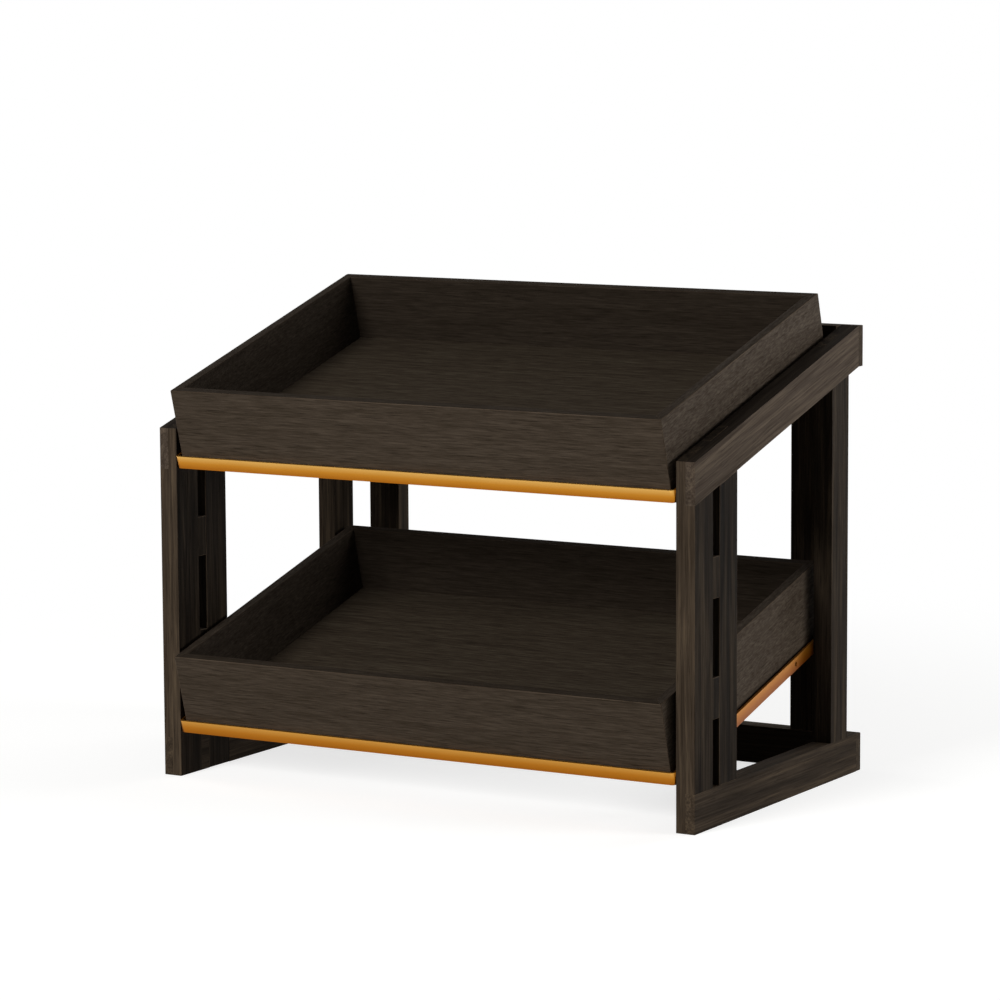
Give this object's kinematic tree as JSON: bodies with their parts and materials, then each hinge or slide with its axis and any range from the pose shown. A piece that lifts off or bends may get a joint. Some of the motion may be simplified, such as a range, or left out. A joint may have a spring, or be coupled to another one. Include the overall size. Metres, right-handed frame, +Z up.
{
  "type": "tiered display stand",
  "caption": "Counter display stand with tilted wooden trays lying in gold angle-bar supports, one above the other, between slatted end frames of dark stained wood.",
  "frame": {"origin": "floor level, under the middle of the whole stand with both trays in place", "axes": "+X to the right and -Y to the front as a customer sees it, +Z up"},
  "size_m": [0.58, 0.3626, 0.4664],
  "materials": {
    "frame_wood": "matt dark stain",
    "tray_wood": "matt dark stain",
    "tray_panel": "matt dark stain",
    "gold_metal": "satin gold",
    "fixing_steel": "blackened"
  },
  "bodies": {
    "stand": {"left_front_lath": "frame_wood", "left_rear_lath": "frame_wood", "left_lower_spacer": "frame_wood", "left_upper_spacer": "frame_wood", "left_back_post": "frame_wood", "left_base_rail": "frame_wood", "left_top_rail": "frame_wood", "left_stile": "frame_wood", "right_front_lath": "frame_wood", "right_rear_lath": "frame_wood", "right_lower_spacer": "frame_wood", "right_upper_spacer": "frame_wood", "right_back_post": "frame_wood", "right_base_rail": "frame_wood", "right_top_rail": "frame_wood", "right_stile": "frame_wood", "bottom_cross_rail": "frame_wood", "top_cross_rail": "frame_wood", "back_frame_screws": "fixing_steel", "lower_support_front": "gold_metal", "lower_support_back": "gold_metal", "lower_support_left": "gold_metal", "lower_support_right": "gold_metal", "lower_support_screws": "fixing_steel", "upper_support_front": "gold_metal", "upper_support_back": "gold_metal", "upper_support_left": "gold_metal", "upper_support_right": "gold_metal", "upper_support_screws": "fixing_steel"},
    "lower_tray": {"lower_tray_front": "tray_wood", "lower_tray_back": "tray_wood", "lower_tray_left": "tray_wood", "lower_tray_right": "tray_wood", "lower_tray_floor": "tray_panel"},
    "upper_tray": {"upper_tray_front": "tray_wood", "upper_tray_back": "tray_wood", "upper_tray_left": "tray_wood", "upper_tray_right": "tray_wood", "upper_tray_floor": "tray_panel"}
  },
  "joints": [
    {"name": "lower_tray_lift", "type": "slide", "parent": "stand", "child": "lower_tray", "axis": [0, -0.2723, 0.9622], "range_m": [0, 0.14]},
    {"name": "upper_tray_lift", "type": "slide", "parent": "stand", "child": "upper_tray", "axis": [0, -0.2723, 0.9622], "range_m": [0, 0.14]}
  ]
}
